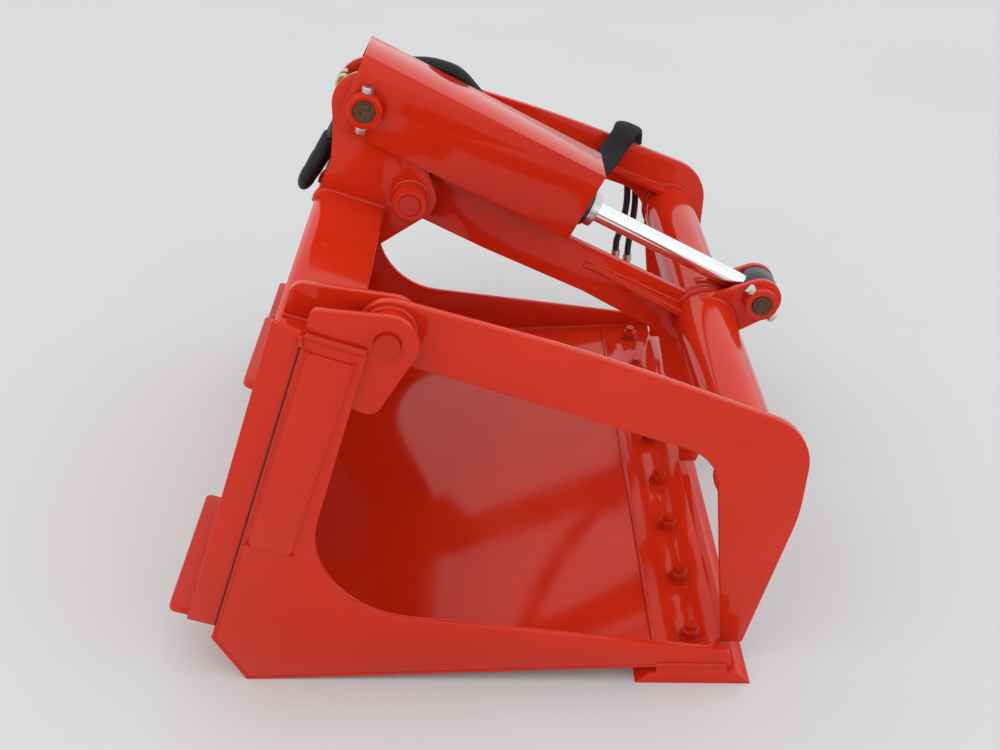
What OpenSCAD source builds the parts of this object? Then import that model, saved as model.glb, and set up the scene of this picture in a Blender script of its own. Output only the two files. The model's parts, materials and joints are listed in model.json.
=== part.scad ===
// Grapple bucket for a skid steer loader, with one cylinder that closes two outer arms and a centre arm.
// The mouth of the bucket faces +X, the loader is at -X, and the bucket stands on Z = 0.

/* [Bucket] */
// Width over the side plates
bucket_w = 1204; // [1100:2:1400]
// Thickness of a side plate
side_t = 10; // [8:1:14]
// Thickness of the floor and back sheet
shell_t = 6; // [4:1:8]
// Lean of the back away from upright, in degrees
back_lean = 18.5; // [16:0.5:20]
// Length of the sloping back, from the heel bevel up
back_h = 605; // [595:1:615]
// How far the heel bevel goes back
heel_back = 51; // [45:1:57]
// How high the heel bevel goes up
heel_up = 97; // [90:1:104]
// Height at which the upright and the lower edge of a side plate would cross
throat_h = 166; // [150:1:180]
// Radius of the throat of a side plate
throat_r = 163; // [140:1:170]
// Height of the nose of a side plate above the lip plate
nose_up = 32; // [26:1:40]
// Width of a side plate's upright at its top
upright_w = 95; // [88:1:102]
// How far a side plate rises above the sloping back
side_rise = 16; // [12:1:20]

/* [Cutting edge] */
// Distance from the heel to the middle of the cutting edge
edge_fwd = 775; // [765:1:785]
// Width of the cutting edge on the ground
edge_w = 202; // [190:1:210]
// Thickness of the cutting edge
edge_t = 25; // [20:1:28]
// How far each long side of the cutting edge is bevelled
edge_bevel = 26; // [20:1:30]
// Width of the lip plate on the cutting edge
lip_w = 120; // [110:1:130]
// Thickness of the lip plate
lip_t = 20; // [16:1:22]
// Number of bolts through the lip
bolt_count = 8; // [6:2:8]
// Distance from the side of the bucket to the first bolt
bolt_margin = 68.6; // [64:0.1:74]
// Diameter of a lip bolt
bolt_d = 19; // [16:1:20]
// Width of a lip nut across its flats
nut_af = 28; // [26:1:30]
// Height of a lip nut
nut_h = 16; // [14:1:18]
// Diameter of the washer under a lip nut
washer_d = 39; // [36:1:42]
// Thickness of the washer
washer_t = 3.5; // [3:0.5:5]
// Length of bolt above the nut
stud_up = 10; // [6:1:12]

/* [Loader mount] */
// Depth of the mounting frame behind the back
mount_depth = 48; // [44:1:52]
// Thickness of the mounting plate
mount_t = 8; // [6:1:10]
// Thickness of an end plate
end_plate_t = 9; // [7:1:10]
// Height of the underside of the end plates along the back
end_plate_low = 28; // [24:1:32]
// How far the rear edge of an end plate slants up at its top
end_plate_slant = 10; // [6:1:14]
// Length of an upper lip across the bucket
upper_lip_l = 200; // [180:1:220]
// How far an upper lip reaches behind the back
upper_lip_reach = 64; // [60:1:68]
// Thickness of an upper lip
upper_lip_t = 12; // [10:1:14]
// Length of a lower lip across the bucket
foot_l = 305; // [290:1:315]
// How far a lower lip reaches behind the back
foot_reach = 82; // [78:1:86]
// Thickness of a lower lip
foot_t = 12; // [10:1:14]
// Length of the slot for a locking wedge
slot_l = 74; // [60:1:80]
// Width of the slot for a locking wedge
slot_w = 28; // [24:1:32]

/* [Top beam and ears] */
// Front to back depth of the top beam
beam_depth = 126; // [120:1:130]
// Height of the top beam
beam_h = 90; // [80:1:94]
// Wall of the top beam
beam_wall = 8; // [6:1:10]
// Radius of the top beam's rear corner
beam_r = 22; // [16:1:28]
// How far the top beam reaches behind the back
beam_back = 47; // [44:1:48]
// Thickness of an ear
ear_t = 12; // [10:1:14]
// Radius of an ear round its pin
ear_r = 46; // [43:1:48]
// Clear gap between the two ears of an arm
ear_gap = 51; // [48:1:54]
// Distance from the arm pivot down to the rounded foot of an ear
ear_drop = 100; // [90:1:110]
// Radius of the rounded foot of an ear
ear_foot_r = 20; // [14:1:24]
// How far an ear rises above the top beam
ear_rise = 56; // [50:1:62]
// Radius of the top corner of an outer ear
outer_ear_r = 9; // [6:1:12]
// Radius of the top corner of an inner ear
inner_ear_r = 20; // [14:1:24]
// Length of a name plate
plate_l = 378; // [360:1:390]
// Width of a name plate
plate_w = 70; // [60:1:74]
// Thickness of a name plate
plate_t = 5; // [4:0.5:6]

/* [Pins] */
// Diameter of every pin
pin_d = 38.1; // [36:0.1:40]
// Diameter of every collar
collar_d = 63.5; // [60:0.5:66]
// Height of the arm pivot above the top beam, along the back
pivot_up = 36.8; // [34:0.1:40]
// Distance from the back forward to the arm pivot
pivot_out = 118.5; // [116:0.5:121]
// Height of the cylinder's base pin above the top beam, along the back
base_up = 176.1; // [173:0.1:179]
// Distance from the line of the back to the cylinder's base pin behind it
base_in = 7.2; // [4:0.1:10]
// How far the end of a pin stands out of its collar
pin_out = 3; // [2:0.5:5]
// Diameter of a locking bolt through a collar
lock_d = 12; // [10:1:14]

/* [Centre bracket] */
// Thickness of a bracket plate
bracket_t = 10; // [8:1:12]
// Clear gap between the two bracket plates
bracket_gap = 78; // [77:1:82]
// Radius of a bracket plate round the base pin
bracket_base_r = 60; // [56:1:64]
// Radius of a bracket plate round the arm pivot
bracket_pivot_r = 47; // [44:1:50]
// Length of a centre pin collar
centre_collar_l = 38; // [34:1:42]

/* [Grapple arms] */
// Thickness of every arm plate
arm_t = 16; // [12:1:18]
// Gap between an inner ear and its outer arm
arm_gap = 5; // [3:0.5:8]
// Reach of an outer arm in front of its pivot
arm_reach = 660; // [650:1:666]
// Gap between the tip of a closed arm and the lip plate
tip_gap = 3; // [2:0.5:10]
// Radius of an outer arm round its pivot
arm_pivot_r = 49; // [46:1:50]
// Radius of the outer bend of an outer arm
arm_bend_r = 100; // [80:1:110]
// Radius of the inner bend of an outer arm
arm_throat_r = 90; // [70:1:100]
// Radius of the centre arm round its pivot
centre_arm_r = 46; // [43:1:48]
// Diameter of an outer arm's hub
hub_d = 76; // [70:1:80]
// Diameter of the centre hub
centre_hub_d = 84; // [78:1:88]
// Diameter of the cross tube
tube_d = 115; // [110:1:118]
// Wall of the cross tube
tube_wall = 8; // [6:1:10]
// Thickness of a gusset
gusset_t = 12; // [8:1:14]
// How far a gusset stands out from its arm at the tube
gusset_w = 54; // [46:1:60]
// Length of a gusset from its point to the middle of the tube
gusset_l = 268; // [255:1:280]

/* [Clevis] */
// Thickness of a clevis ear
clevis_t = 12; // [10:1:14]
// Clear gap between the clevis ears
clevis_gap = 58; // [56:1:62]
// Radius of a clevis ear round the rod pin
clevis_r = 42; // [40:1:44]
// Length of the rod pin's collar
rod_collar_l = 22; // [18:1:26]

/* [Cylinder] */
// Outside diameter of the barrel
barrel_d = 76; // [72:1:80]
// Wall of the barrel
barrel_wall = 6.5; // [5:0.5:8]
// Diameter of the piston rod
rod_d = 38; // [34:1:40]
// Distance from the base pin to the front end of the barrel
barrel_end = 455; // [448:1:460]
// Length of the gland outside the barrel
gland_out = 17; // [12:1:22]
// Diameter of the gland outside the barrel
gland_d = 66; // [60:1:70]
// Length of the gland inside the barrel
gland_in = 40; // [30:1:50]
// Diameter of the base eye
base_eye_d = 76; // [70:1:80]
// Width of the base eye
base_eye_w = 70; // [64:1:74]
// Thickness of the barrel's base cap
base_cap_t = 16; // [12:1:20]
// Diameter of the rod eye
rod_eye_d = 82; // [80:1:84]
// Free play round the rod pin in the rod eye
rod_eye_play = 10.7; // [10.5:0.1:11]
// Length of the piston
piston_l = 44; // [36:1:52]
// Distance from the base pin to the front face of the piston
piston_at = 372; // [360:1:380]

/* [Cylinder guard] */
// Thickness of the guard sheet
guard_t = 6; // [4:1:8]
// Width of the guard
guard_w = 120; // [118:1:124]
// Distance from the base pin to the front of the guard
guard_front = 441; // [430:1:446]
// Distance from the base pin to the rear of the guard
guard_rear = 38; // [34:1:42]
// Height of the guard above the line of the cylinder
guard_up = 86; // [82:1:90]
// Depth of the guard below the line of the cylinder
guard_down = 55; // [50:1:58]
// Length of the saddle that carries the guard on the barrel
saddle_l = 40; // [30:1:50]
// Width of the saddle
saddle_w = 40; // [30:1:50]

/* [Hoses] */
// Diameter of the fabric sleeve round the two hoses
sleeve_d = 36; // [34:1:38]
// Diameter of a hose
hose_d = 16; // [12:1:17]
// Distance between the two hoses
hose_gap = 20; // [19:1:22]
// Diameter of a hose ferrule
ferrule_d = 22; // [20:1:23]
// Length of a hose ferrule
ferrule_l = 38; // [30:1:44]
// Diameter of a quick coupler
coupler_d = 28; // [26:1:29]
// Length of a quick coupler
coupler_l = 62; // [50:1:70]

/* [Hidden] */
$fn = 96;

// Clearances
run_gap = 0.08;
face_gap = 0.5;
seat_gap = 0.02;
bolt_recess = 1;
overrun = 1;

// Steps along round corners of an outline
arc_steps = 14;
bend_steps = 12;

// A point u along the sloping back from the top of the heel bevel and v forward of it, from the heel
function from_heel(u, v) = [
    u * sin(back_lean) + v * cos(back_lean) - heel_back,
    heel_up + u * cos(back_lean) - v * sin(back_lean)];

// The grapple, in shares of its reach and its drop from the arm pivot
lip_top = edge_t + lip_t;
pivot_point = from_heel(back_h + pivot_up, pivot_out);
arm_drop = pivot_point[1] - lip_top - tip_gap;
tube_shares = [0.8712, -0.4242];
rod_end_shares = [1.0242, -0.3371];

// The heel is set back so that the middle of the whole length is at X = 0
lower_lip_u = end_plate_low + foot_t;
rear_reach = -from_heel(lower_lip_u, -foot_reach)[0];
front_reach = pivot_point[0] + rod_end_shares[0] * arm_reach + clevis_r;
heel_x = (rear_reach - front_reach) / 2;
function on_back(u, v) = [heel_x, 0] + from_heel(u, v);

// Points that other points follow
pivot = [heel_x, 0] + pivot_point;
base = on_back(back_h + base_up, -base_in);
function arm_at(shares) = pivot + [shares[0] * arm_reach, shares[1] * arm_drop];
rod_end = arm_at(rod_end_shares);
tube_at = arm_at(tube_shares);
edge_x = heel_x + edge_fwd;
lip_x = edge_x - edge_bevel / 4;
half_w = bucket_w / 2;
bolt_pitch = (bucket_w - 2 * bolt_margin) / (bolt_count - 1);
side_in = half_w - side_t;
inner_ear_out = side_in - ear_t - ear_gap;
inner_ear_in = inner_ear_out - ear_t;
arm_in = inner_ear_out + arm_gap;
arm_out = arm_in + arm_t;
bracket_in = bracket_gap / 2;
bracket_out = bracket_in + bracket_t;
guard_out = guard_w / 2;
clevis_in = clevis_gap / 2;
clevis_out = clevis_in + clevis_t;
cylinder_l = norm(rod_end - base);
cylinder_pitch = atan2(base[1] - rod_end[1], rod_end[0] - base[0]);

// A point s along the cylinder from its base pin and t above its centre line
function on_cylinder(s, t) = [
    base[0] + s * cos(cylinder_pitch) + t * sin(cylinder_pitch),
    base[1] - s * sin(cylinder_pitch) + t * cos(cylinder_pitch)];

// Outlines with round corners, each corner given as [x, z, radius]
function unit(a) = a / norm(a);
function heading(from, to) = atan2(to[1] - from[1], to[0] - from[0]);
function turn(from, to) = let(d = to - from) d > 180 ? d - 360 : d < -180 ? d + 360 : d;
function arc(c, r, from, to, n) = [for (i = [0:n])
    let(a = from + (to - from) * i / n) c + r * [cos(a), sin(a)]];
function fillet(a, p, b, r) =
    let(u = unit(a - p), w = unit(b - p), h = acos(u * w) / 2)
    let(c = p + unit(u + w) * r / sin(h))
    let(from = heading(c, p + u * r / tan(h)), to = heading(c, p + w * r / tan(h)))
    arc(c, r, from, from + turn(from, to), bend_steps);
function spot(q) = [q[0], q[1]];
function rounded(q) = let(n = len(q)) [for (i = [0:n - 1])
    each (q[i][2] > 0
        ? fillet(spot(q[(i + n - 1) % n]), spot(q[i]), spot(q[(i + 1) % n]), q[i][2])
        : [spot(q[i])])];
function corner(p, r) = [p[0], p[1], r];

// Heading at which a straight edge from p leaves a round end, and at which one leaves two round ends
function touch(c, r, p) = acos(r / norm(p - c));
function flank(a, ra, b, rb) = acos((ra - rb) / norm(b - a));

// A flat plate that stands across Y, from y up to y + t
module slab(y, t) {
    translate([0, y + t, 0])
        rotate([90, 0, 0])
            linear_extrude(t)
                children();
}

// A round bar along Y, from y0 to y1
module bar_y(at, d, y0, y1) {
    translate([at[0], y1, at[1]])
        rotate([90, 0, 0])
            cylinder(d = d, h = y1 - y0);
}

// The right side is at -Y and mirrors the left one
module on_side(s) {
    mirror([0, s < 0 ? 1 : 0, 0])
        children();
}

module both_sides() {
    for (s = [-1, 1])
        on_side(s)
            children();
}

// A frame with +X along the cylinder from its base pin
module along_cylinder() {
    translate([base[0], 0, base[1]])
        rotate([0, cylinder_pitch, 0])
            children();
}

module bar_s(d, s0, s1) {
    along_cylinder()
        translate([s0, 0, 0])
            rotate([0, 90, 0])
                cylinder(d = d, h = s1 - s0);
}

paint = [0.78, 0.13, 0.07];
pin_paint = [0.66, 0.09, 0.05];
zinc = [0.75, 0.76, 0.77];
bare_steel = [0.36, 0.27, 0.19];
black_steel = [0.08, 0.08, 0.09];
chrome = [0.86, 0.87, 0.88];
fabric = [0.05, 0.05, 0.05];
rubber = [0.07, 0.07, 0.07];

// Sheet of the bucket: floor, heel bevel and back in one bent piece
heel = [heel_x, 0];
bevel_top = on_back(0, 0);
floor_rear = [lip_x - lip_w / 2, lip_top - shell_t];
floor_tip = floor_rear + [0, shell_t];
beam_low = back_h - beam_h;
function inside(a, p, b) =
    let(h = acos(unit(a - p) * unit(b - p)) / 2)
    p + unit(unit(a - p) + unit(b - p)) * shell_t / sin(h);
heel_inside = inside(bevel_top, heel, floor_rear);
bevel_inside = inside(heel, bevel_top, on_back(back_h, 0));

module bucket_shell() {
    color(paint)
        slab(-half_w, bucket_w)
            polygon([heel, floor_rear, floor_tip, heel_inside, bevel_inside,
                on_back(beam_low, shell_t), on_back(beam_low, 0), bevel_top]);
}

// Side plates stand on the sheet and the lip plate
nose_r = nose_up / 2;
nose_past_share = 0.13;
nose_slope_share = 0.03;
throat_back_share = 0.55;
side_top = back_h + side_rise;
nose_x = lip_x + lip_w / 2 + nose_up * nose_past_share;
side_corners = [
    corner(heel_inside, 0),
    corner(floor_tip, 0),
    corner([nose_x + throat_r * nose_slope_share, lip_top], 0),
    corner([nose_x, lip_top + nose_up], nose_r),
    corner([heel_x + throat_r * throat_back_share, throat_h], throat_r),
    corner(on_back(side_top, upright_w), 0),
    corner(on_back(side_top, 0), 0),
    corner(on_back(beam_low, 0), 0),
    corner(on_back(beam_low, shell_t), 0),
    corner(bevel_inside, 0)];

module side_plate() {
    color(paint)
        slab(side_in, side_t)
            polygon(rounded(side_corners));
}

module side_plate_right() {
    on_side(-1)
        side_plate();
}

module side_plate_left() {
    on_side(1)
        side_plate();
}

// Cutting edge and lip plate, with one row of bolts through both
bolt_head_h = edge_t / 2;
bolt_head_d = 2 * bolt_d;
stud_top = lip_top + washer_t + nut_h + stud_up;

module bolt_row() {
    for (i = [0:bolt_count - 1])
        translate([edge_x, (i - (bolt_count - 1) / 2) * bolt_pitch, 0])
            children();
}

module ring(d, bore, h) {
    difference() {
        cylinder(d = d, h = h);
        translate([0, 0, -overrun])
            cylinder(d = bore, h = h + 2 * overrun);
    }
}

module lip_plate() {
    color(paint)
        difference() {
            translate([lip_x - lip_w / 2, -half_w, edge_t])
                cube([lip_w, bucket_w, lip_t]);
            bolt_row()
                cylinder(d = bolt_d, h = lip_top + overrun);
        }
}

module cutting_edge() {
    color(paint)
        difference() {
            slab(-half_w, bucket_w)
                polygon([[edge_x - edge_w / 2, 0], [edge_x + edge_w / 2, 0],
                    [edge_x + edge_w / 2 - edge_bevel, edge_t],
                    [edge_x - edge_w / 2 + edge_bevel, edge_t]]);
            bolt_row()
                translate([0, 0, -overrun])
                    cylinder(d = bolt_d, h = edge_t + 2 * overrun);
            bolt_row()
                translate([0, 0, -overrun])
                    cylinder(d = bolt_head_d, h = overrun + bolt_recess);
            bolt_row()
                translate([0, 0, bolt_recess])
                    cylinder(d1 = bolt_head_d, d2 = bolt_d, h = bolt_head_h);
        }
}

module lip_bolts() {
    color(pin_paint)
        bolt_row()
            rotate_extrude()
                polygon([[0, bolt_recess], [bolt_d, bolt_recess], [bolt_d / 2, bolt_recess + bolt_head_h],
                    [bolt_d / 2, stud_top], [0, stud_top]]);
}

module lip_washers() {
    color(pin_paint)
        bolt_row()
            translate([0, 0, lip_top])
                ring(washer_d, bolt_d, washer_t);
}

module lip_nuts() {
    color(pin_paint)
        bolt_row()
            translate([0, 0, lip_top + washer_t])
                difference() {
                    cylinder(d = nut_af / cos(30), h = nut_h, $fn = 6);
                    translate([0, 0, -overrun])
                        cylinder(d = bolt_d, h = nut_h + 2 * overrun);
                }
}

// Top beam, a box along the top of the back
beam_front = beam_depth - beam_back;
beam_corners = [
    corner(on_back(beam_low, -beam_back), 0),
    corner(on_back(beam_low, beam_front), 0),
    corner(on_back(back_h, beam_front), 0),
    corner(on_back(back_h, -beam_back), beam_r)];
beam_bore = [
    corner(on_back(beam_low + beam_wall, beam_wall - beam_back), 0),
    corner(on_back(beam_low + beam_wall, beam_front - beam_wall), 0),
    corner(on_back(back_h - beam_wall, beam_front - beam_wall), 0),
    corner(on_back(back_h - beam_wall, beam_wall - beam_back), beam_r - beam_wall)];

module beam_section() {
    polygon(rounded(beam_corners));
}

module top_beam() {
    color(paint)
        slab(-side_in, 2 * side_in)
            difference() {
                beam_section();
                polygon(rounded(beam_bore));
            }
}

// Loader mount: plate, upper lips, end plates and lower lips
upper_lip_u = beam_low - upper_lip_t;

module mount_plate() {
    color(paint)
        slab(seat_gap - side_in, 2 * (side_in - seat_gap))
            polygon([on_back(lower_lip_u + seat_gap, -seat_gap), on_back(upper_lip_u - seat_gap, -seat_gap),
                on_back(upper_lip_u - seat_gap, -mount_t), on_back(lower_lip_u + seat_gap, -mount_t)]);
}

// A flat lip that stands out behind the back, from its height along the back up
module back_lip(at_u, l, reach, t) {
    translate([bevel_top[0], side_in - l, bevel_top[1]])
        rotate([0, back_lean, 0])
            translate([0, 0, at_u])
                linear_extrude(t)
                    polygon(rounded([[-seat_gap, 0, 0], [-seat_gap, l, 0], [-reach, l, t], [-reach, 0, t]]));
}

module upper_lips() {
    color(paint)
        both_sides()
            back_lip(upper_lip_u, upper_lip_l, upper_lip_reach, upper_lip_t);
}

end_plate_top = side_top + end_plate_slant;

module end_plate() {
    color(paint)
        slab(side_in, end_plate_t)
            polygon([on_back(end_plate_low, -seat_gap), on_back(side_top, -seat_gap),
                on_back(end_plate_top, -mount_depth), on_back(end_plate_low, -mount_depth)]);
}

module end_plate_right() {
    on_side(-1)
        end_plate();
}

module end_plate_left() {
    on_side(1)
        end_plate();
}

slot_middle = -(2 * mount_t + slot_w / 2);
slot_y = side_in - (foot_l + slot_l) / 2;

module lower_lip() {
    color(paint)
        difference() {
            back_lip(end_plate_low, foot_l, foot_reach, foot_t);
            translate([bevel_top[0], slot_y, bevel_top[1]])
                rotate([0, back_lean, 0])
                    translate([slot_middle - slot_w / 2, 0, end_plate_low - overrun])
                        cube([slot_w, slot_l, foot_t + 2 * overrun]);
        }
}

module lower_lip_right() {
    on_side(-1)
        lower_lip();
}

module lower_lip_left() {
    on_side(1)
        lower_lip();
}

// Plain name plates, one on the outside of each side plate
name_top = back_h - plate_t;
name_rear = 2 * shell_t;

module name_plates() {
    color(paint)
        both_sides()
            slab(half_w, plate_t)
                polygon([on_back(name_top - plate_l, name_rear), on_back(name_top - plate_l, name_rear + plate_w),
                    on_back(name_top, name_rear + plate_w), on_back(name_top, name_rear)]);
}

// Ears that carry the arm pins
ear_foot_share = 0.32;
ear_foot = pivot + ear_drop * [-ear_foot_share, -1];
ear_toe = on_back(beam_low + beam_wall / 2, beam_front);
ear_front = heading(pivot, ear_foot) + flank(pivot, ear_r, ear_foot, ear_foot_r);
ear_under = heading(ear_foot, ear_toe) + touch(ear_foot, ear_foot_r, ear_toe);
inner_ear_back_share = 0.77;
inner_ear_back = mount_depth * inner_ear_back_share;

function ear_outline(seat, crest, r) =
    let(over = heading(pivot, crest) - touch(pivot, ear_r, crest))
    concat(
        [seat],
        fillet(seat, crest, pivot + ear_r * [cos(over), sin(over)], r),
        arc(pivot, ear_r, over, ear_front, arc_steps),
        arc(ear_foot, ear_foot_r, ear_front, ear_front + turn(ear_front, ear_under), bend_steps),
        [ear_toe]);
outer_ear_outline = ear_outline(on_back(beam_low, 0), on_back(back_h + ear_rise, 0), outer_ear_r);
inner_ear_outline = ear_outline(on_back(beam_low, -inner_ear_back),
    on_back(back_h + ear_rise, -inner_ear_back), inner_ear_r);

module ear(outline, out) {
    color(paint)
        difference() {
            slab(out - ear_t, ear_t)
                difference() {
                    polygon(outline);
                    beam_section();
                }
            bar_y(pivot, pin_d, out - ear_t - overrun, out + overrun);
        }
}

module outer_ear_right() {
    on_side(-1)
        ear(outer_ear_outline, side_in);
}

module outer_ear_left() {
    on_side(1)
        ear(outer_ear_outline, side_in);
}

module inner_ear_right() {
    on_side(-1)
        ear(inner_ear_outline, inner_ear_out);
}

module inner_ear_left() {
    on_side(1)
        ear(inner_ear_outline, inner_ear_out);
}

// Pins with their collars
module collar_y(at, y0, y1) {
    difference() {
        bar_y(at, collar_d, y0, y1);
        bar_y(at, pin_d, y0 - overrun, y1 + overrun);
    }
}

module arm_pins() {
    color(pin_paint)
        both_sides()
            bar_y(pivot, pin_d, inner_ear_in - rod_collar_l - pin_out, side_in + 2 * pin_out);
}

module pin_collars() {
    color(paint)
        both_sides()
            collar_y(pivot, inner_ear_in - rod_collar_l, inner_ear_in);
}

// Centre bracket, two plates on the beam that carry the cylinder and the centre arm
bracket_back_share = 0.6;
bracket_heel_shares = [1.12, 1.67];
bracket_rear = base - bracket_base_r * [1, bracket_back_share];
bracket_heel = base - bracket_base_r * bracket_heel_shares;
bracket_toe = on_back(beam_low, beam_front);
bracket_foot_share = 0.3;
bracket_foot = on_back(back_h - beam_h * bracket_foot_share, -beam_back);
bracket_side = heading(pivot, base) - flank(pivot, bracket_pivot_r, base, bracket_base_r);
bracket_under = heading(pivot, bracket_toe) + touch(pivot, bracket_pivot_r, bracket_toe);
bracket_outline = concat(
    arc(pivot, bracket_pivot_r, bracket_side + turn(bracket_side, bracket_under), bracket_side, arc_steps),
    arc(base, bracket_base_r, bracket_side, 180, 2 * arc_steps),
    [bracket_rear, bracket_heel, bracket_foot, bracket_toe]);

module bracket_plate() {
    color(paint)
        difference() {
            slab(bracket_in, bracket_t)
                difference() {
                    polygon(bracket_outline);
                    beam_section();
                }
            bar_y(pivot, pin_d, bracket_in - overrun, bracket_out + overrun);
            bar_y(base, pin_d, bracket_in - overrun, bracket_out + overrun);
        }
}

module bracket_plate_right() {
    on_side(-1)
        bracket_plate();
}

module bracket_plate_left() {
    on_side(1)
        bracket_plate();
}

centre_collar_end = bracket_out + centre_collar_l;

module centre_pin() {
    color(pin_paint)
        bar_y(pivot, pin_d, -centre_collar_end - pin_out, centre_collar_end + pin_out);
}

module centre_collars() {
    color(paint)
        both_sides()
            collar_y(pivot, bracket_out, centre_collar_end);
}

// A locking bolt through a collar and its pin, leaning back by an angle
lock_head_d = 1.8 * lock_d;
lock_head_h = 0.65 * lock_d;
lock_washer_h = lock_d / 4;
lock_seat = collar_d / 2;
lock_washer_d = 1.7 * lock_d;
base_lock_angle = 12;
rod_lock_angle = -40;

module lock_hole(at, y, angle) {
    translate([at[0], y, at[1]])
        rotate([0, angle, 0])
            translate([0, 0, -collar_d])
                cylinder(d = lock_d, h = 2 * collar_d);
}

module lock_bolt(at, y, angle) {
    translate([at[0], y, at[1]])
        rotate([0, angle, 0])
            union() {
                translate([0, 0, -lock_seat])
                    cylinder(d = lock_d, h = 2 * lock_seat);
                for (e = [0, 180])
                    rotate([e, 0, 0])
                        translate([0, 0, lock_seat])
                            union() {
                                cylinder(d = lock_washer_d, h = lock_washer_h);
                                translate([0, 0, lock_washer_h])
                                    cylinder(d = lock_head_d, h = lock_head_h, $fn = 6);
                            }
            }
}

// Base pin, with a collar outside the guard at each end
base_collar_in = guard_out + face_gap;
base_collar_end = base_collar_in + rod_collar_l;
base_lock_y = base_collar_in + rod_collar_l / 2;

module base_pin() {
    color(bare_steel)
        difference() {
            bar_y(base, pin_d, -base_collar_end - pin_out, base_collar_end + pin_out);
            both_sides()
                lock_hole(base, base_lock_y, base_lock_angle);
        }
}

module base_collars() {
    color(paint)
        both_sides()
            difference() {
                collar_y(base, base_collar_in, base_collar_end);
                lock_hole(base, base_lock_y, base_lock_angle);
            }
}

module base_lock_bolts() {
    color(zinc)
        both_sides()
            lock_bolt(base, base_lock_y, base_lock_angle);
}

module guard_spacers() {
    color(paint)
        both_sides()
            collar_y(base, bracket_out, guard_out - guard_t - face_gap);
}

// Outer arms, in shares of their reach and drop from the pivot
arm_crown_shares = [0.47, -0.064];
arm_front_shares = [1, -0.282];
arm_shin_shares = [0.998, -0.542];
arm_tip_shares = [[0.909, -1], [0.853, -1]];
arm_throat_shares = [0.776, -0.361];
arm_crown = arm_at(arm_crown_shares);
arm_throat = arm_at(arm_throat_shares);
arm_crown_r = 5 * arm_reach;
arm_shin_r = arm_reach / 2;
hub_gap_half = (ear_gap - 2 * face_gap) / 2;
hub_middle = inner_ear_out + ear_gap / 2;

// Outline of an arm's round end, from the lower edge back and over to the upper edge
function end_below(r, below) = 360 + heading(pivot, below) - touch(pivot, r, below);
function end_above(r, above) = heading(pivot, above) + touch(pivot, r, above);
function arm_end(r, below, above) = arc(pivot, r, end_below(r, below), end_above(r, above), 2 * arc_steps);
function end_point(r, a) = pivot + r * [cos(a), sin(a)];
arm_outline = concat(
    [arm_at(arm_tip_shares[1])],
    fillet(arm_at(arm_tip_shares[1]), arm_throat, end_point(arm_pivot_r, end_below(arm_pivot_r, arm_throat)),
        arm_throat_r),
    arm_end(arm_pivot_r, arm_throat, arm_crown),
    fillet(end_point(arm_pivot_r, end_above(arm_pivot_r, arm_crown)), arm_crown, arm_at(arm_front_shares),
        arm_crown_r),
    fillet(arm_crown, arm_at(arm_front_shares), arm_at(arm_shin_shares), arm_bend_r),
    fillet(arm_at(arm_front_shares), arm_at(arm_shin_shares), arm_at(arm_tip_shares[0]), arm_shin_r),
    [arm_at(arm_tip_shares[0])]);

module outer_arm() {
    color(paint)
        difference() {
            slab(arm_in, arm_t)
                polygon(arm_outline);
            bar_y(pivot, hub_d, arm_in - overrun, arm_out + overrun);
        }
}

module arm_right() {
    on_side(-1)
        outer_arm();
}

module arm_left() {
    on_side(1)
        outer_arm();
}

module hub(d, y0, y1) {
    difference() {
        bar_y(pivot, d, y0, y1);
        bar_y(pivot, pin_d + 2 * run_gap, y0 - overrun, y1 + overrun);
    }
}

module arm_hubs() {
    color(paint)
        both_sides()
            hub(hub_d, hub_middle - hub_gap_half, hub_middle + hub_gap_half);
}

// Centre arm, in shares of the same reach and drop
centre_top_shares = [[0.536, -0.197], [0.815, -0.34]];
centre_front_shares = [[0.956, -0.462], [0.979, -0.622], [0.955, -0.795], [0.909, -1]];
centre_rear_shares = [[0.856, -1], [0.826, -0.774], [0.773, -0.638]];
centre_throat_shares = [0.742, -0.484];
centre_low_shares = [[0.5, -0.338], [0.209, -0.196]];
centre_throat = arm_at(centre_throat_shares);
centre_outline = concat(
    [for (q = centre_rear_shares) arm_at(q)],
    fillet(arm_at(centre_rear_shares[2]), centre_throat, arm_at(centre_low_shares[0]), arm_throat_r / 2),
    [for (q = centre_low_shares) arm_at(q)],
    arm_end(centre_arm_r, arm_at(centre_low_shares[1]), arm_at(centre_top_shares[0])),
    [for (q = centre_top_shares) arm_at(q)],
    [for (q = centre_front_shares) arm_at(q)]);
centre_hub_half = bracket_in - face_gap;

module tube_cut(y) {
    bar_y(tube_at, tube_d, -y, y);
}

module centre_arm() {
    color(paint)
        difference() {
            slab(-arm_t / 2, arm_t)
                polygon(centre_outline);
            bar_y(pivot, centre_hub_d, -arm_t, arm_t);
            tube_cut(arm_t);
        }
}

module centre_hub() {
    color(paint)
        hub(centre_hub_d, -centre_hub_half, centre_hub_half);
}

module cross_tube() {
    color(paint)
        difference() {
            tube_cut(arm_in);
            bar_y(tube_at, tube_d - 2 * tube_wall, -arm_in - overrun, arm_in + overrun);
        }
}

// Gussets from the arms to the cross tube, with the long edge on the arm
centre_gusset_angle = 25.6;
outer_gusset_angle = 20;
outer_gusset_share = 0.74;
outer_gusset_rise = 0.36 * tube_d;

module gusset(y, w, l, angle, rise) {
    translate([tube_at[0], y, tube_at[1]])
        rotate([0, angle, 0])
            translate([0, 0, rise - gusset_t / 2])
                linear_extrude(gusset_t)
                    polygon([[-l, 0], [0, 0], [0, w]]);
}

module gussets() {
    color(paint)
        difference() {
            both_sides()
                union() {
                    gusset(arm_t / 2, gusset_w, gusset_l, centre_gusset_angle, 0);
                    gusset(arm_in, -gusset_w, gusset_l * outer_gusset_share, outer_gusset_angle,
                        outer_gusset_rise);
                }
            tube_cut(arm_in + overrun);
        }
}

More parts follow.
